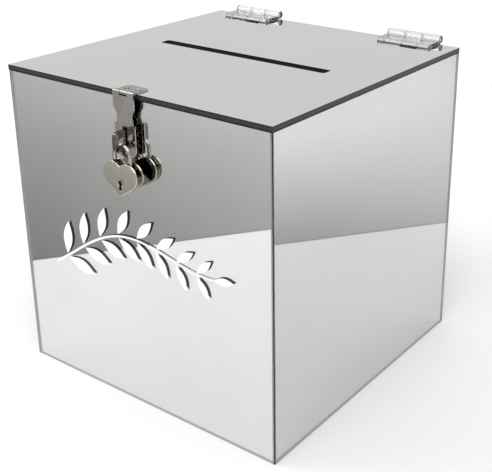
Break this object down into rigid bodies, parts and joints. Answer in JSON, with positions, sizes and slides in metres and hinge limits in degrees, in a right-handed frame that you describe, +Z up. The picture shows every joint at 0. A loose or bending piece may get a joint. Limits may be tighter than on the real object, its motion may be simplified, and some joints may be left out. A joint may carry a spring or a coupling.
{
  "type": "wedding card box",
  "caption": "Free-standing mirrored acrylic cube with a slotted, hinged lid, clear hinges at the back, and a hasp, staple and heart padlock at the front",
  "frame": {"origin": "centre of the base, on the surface that the box stands on", "axes": "X along the front face, Y from the front face to the back, Z up"},
  "size_m": [0.254, 0.2736, 0.2606],
  "materials": {
    "mirror_silver": "mirrored acrylic sheet, second-surface silver with a clear face",
    "lid_mirror": "mirrored acrylic sheet, dark polished edge",
    "white_vinyl": "cut vinyl film, matte white",
    "clear_acrylic": "clear cast acrylic",
    "clear_rod": "clear acrylic rod",
    "nickel_plate": "polished nickel plate, fine wear",
    "screw_steel": "bright plated steel",
    "nickel_warm": "polished nickel, slightly warm",
    "case_nickel": "satin nickel case",
    "brass_works": "plain stamped brass",
    "spring_steel": "drawn spring wire"
  },
  "bodies": {
    "box": {"bottom_panel": "mirror_silver", "front_panel": "mirror_silver", "back_panel": "mirror_silver", "left_panel": "mirror_silver", "right_panel": "mirror_silver", "front_sprig": "white_vinyl", "hinge_box_leaf_left": "clear_acrylic", "hinge_box_leaf_right": "clear_acrylic", "hinge_pin_left": "clear_rod", "hinge_pin_right": "clear_rod", "staple": "nickel_plate", "staple_screws": "screw_steel", "staple_nuts": "screw_steel"},
    "lid": {"lid_panel": "lid_mirror", "hinge_lid_leaf_left": "clear_acrylic", "hinge_lid_leaf_right": "clear_acrylic", "hasp_lid_plate": "nickel_plate", "hasp_lid_screws": "screw_steel", "hasp_lid_nuts": "screw_steel", "hasp_pin": "screw_steel"},
    "strap": {"hasp_strap": "nickel_plate"},
    "shackle": {"shackle": "nickel_plate", "shackle_pivot": "screw_steel"},
    "padlock": {"padlock_front_plate": "nickel_warm", "padlock_case": "case_nickel", "padlock_back_plate": "nickel_warm", "padlock_key_post": "screw_steel"},
    "bolt": {"padlock_bolt": "brass_works", "padlock_spring": "spring_steel"}
  },
  "joints": [
    {"name": "lid_hinge", "type": "hinge", "parent": "box", "child": "lid", "pos_m": [0, 0.1293, 0.2573], "axis": [-1, 0, 0], "range_deg": [0, 180]},
    {"name": "strap_swing", "type": "hinge", "parent": "lid", "child": "strap", "pos_m": [0, -0.128, 0.2542], "axis": [-1, 0, 0], "range_deg": [0, 190]},
    {"name": "padlock_swing", "type": "hinge", "parent": "box", "child": "shackle", "pos_m": [0, -0.1342, 0.21755], "axis": [-1, 0, 0], "range_deg": [0, 150]},
    {"name": "shackle_open", "type": "hinge", "parent": "shackle", "child": "padlock", "pos_m": [0.008, -0.1342, 0.1995], "axis": [0, -1, 0], "range_deg": [0, 90]},
    {"name": "bolt_slide", "type": "slide", "parent": "padlock", "child": "bolt", "axis": [1, 0, 0], "range_m": [0, 0.0012], "stiffness_N_per_m": 150}
  ]
}
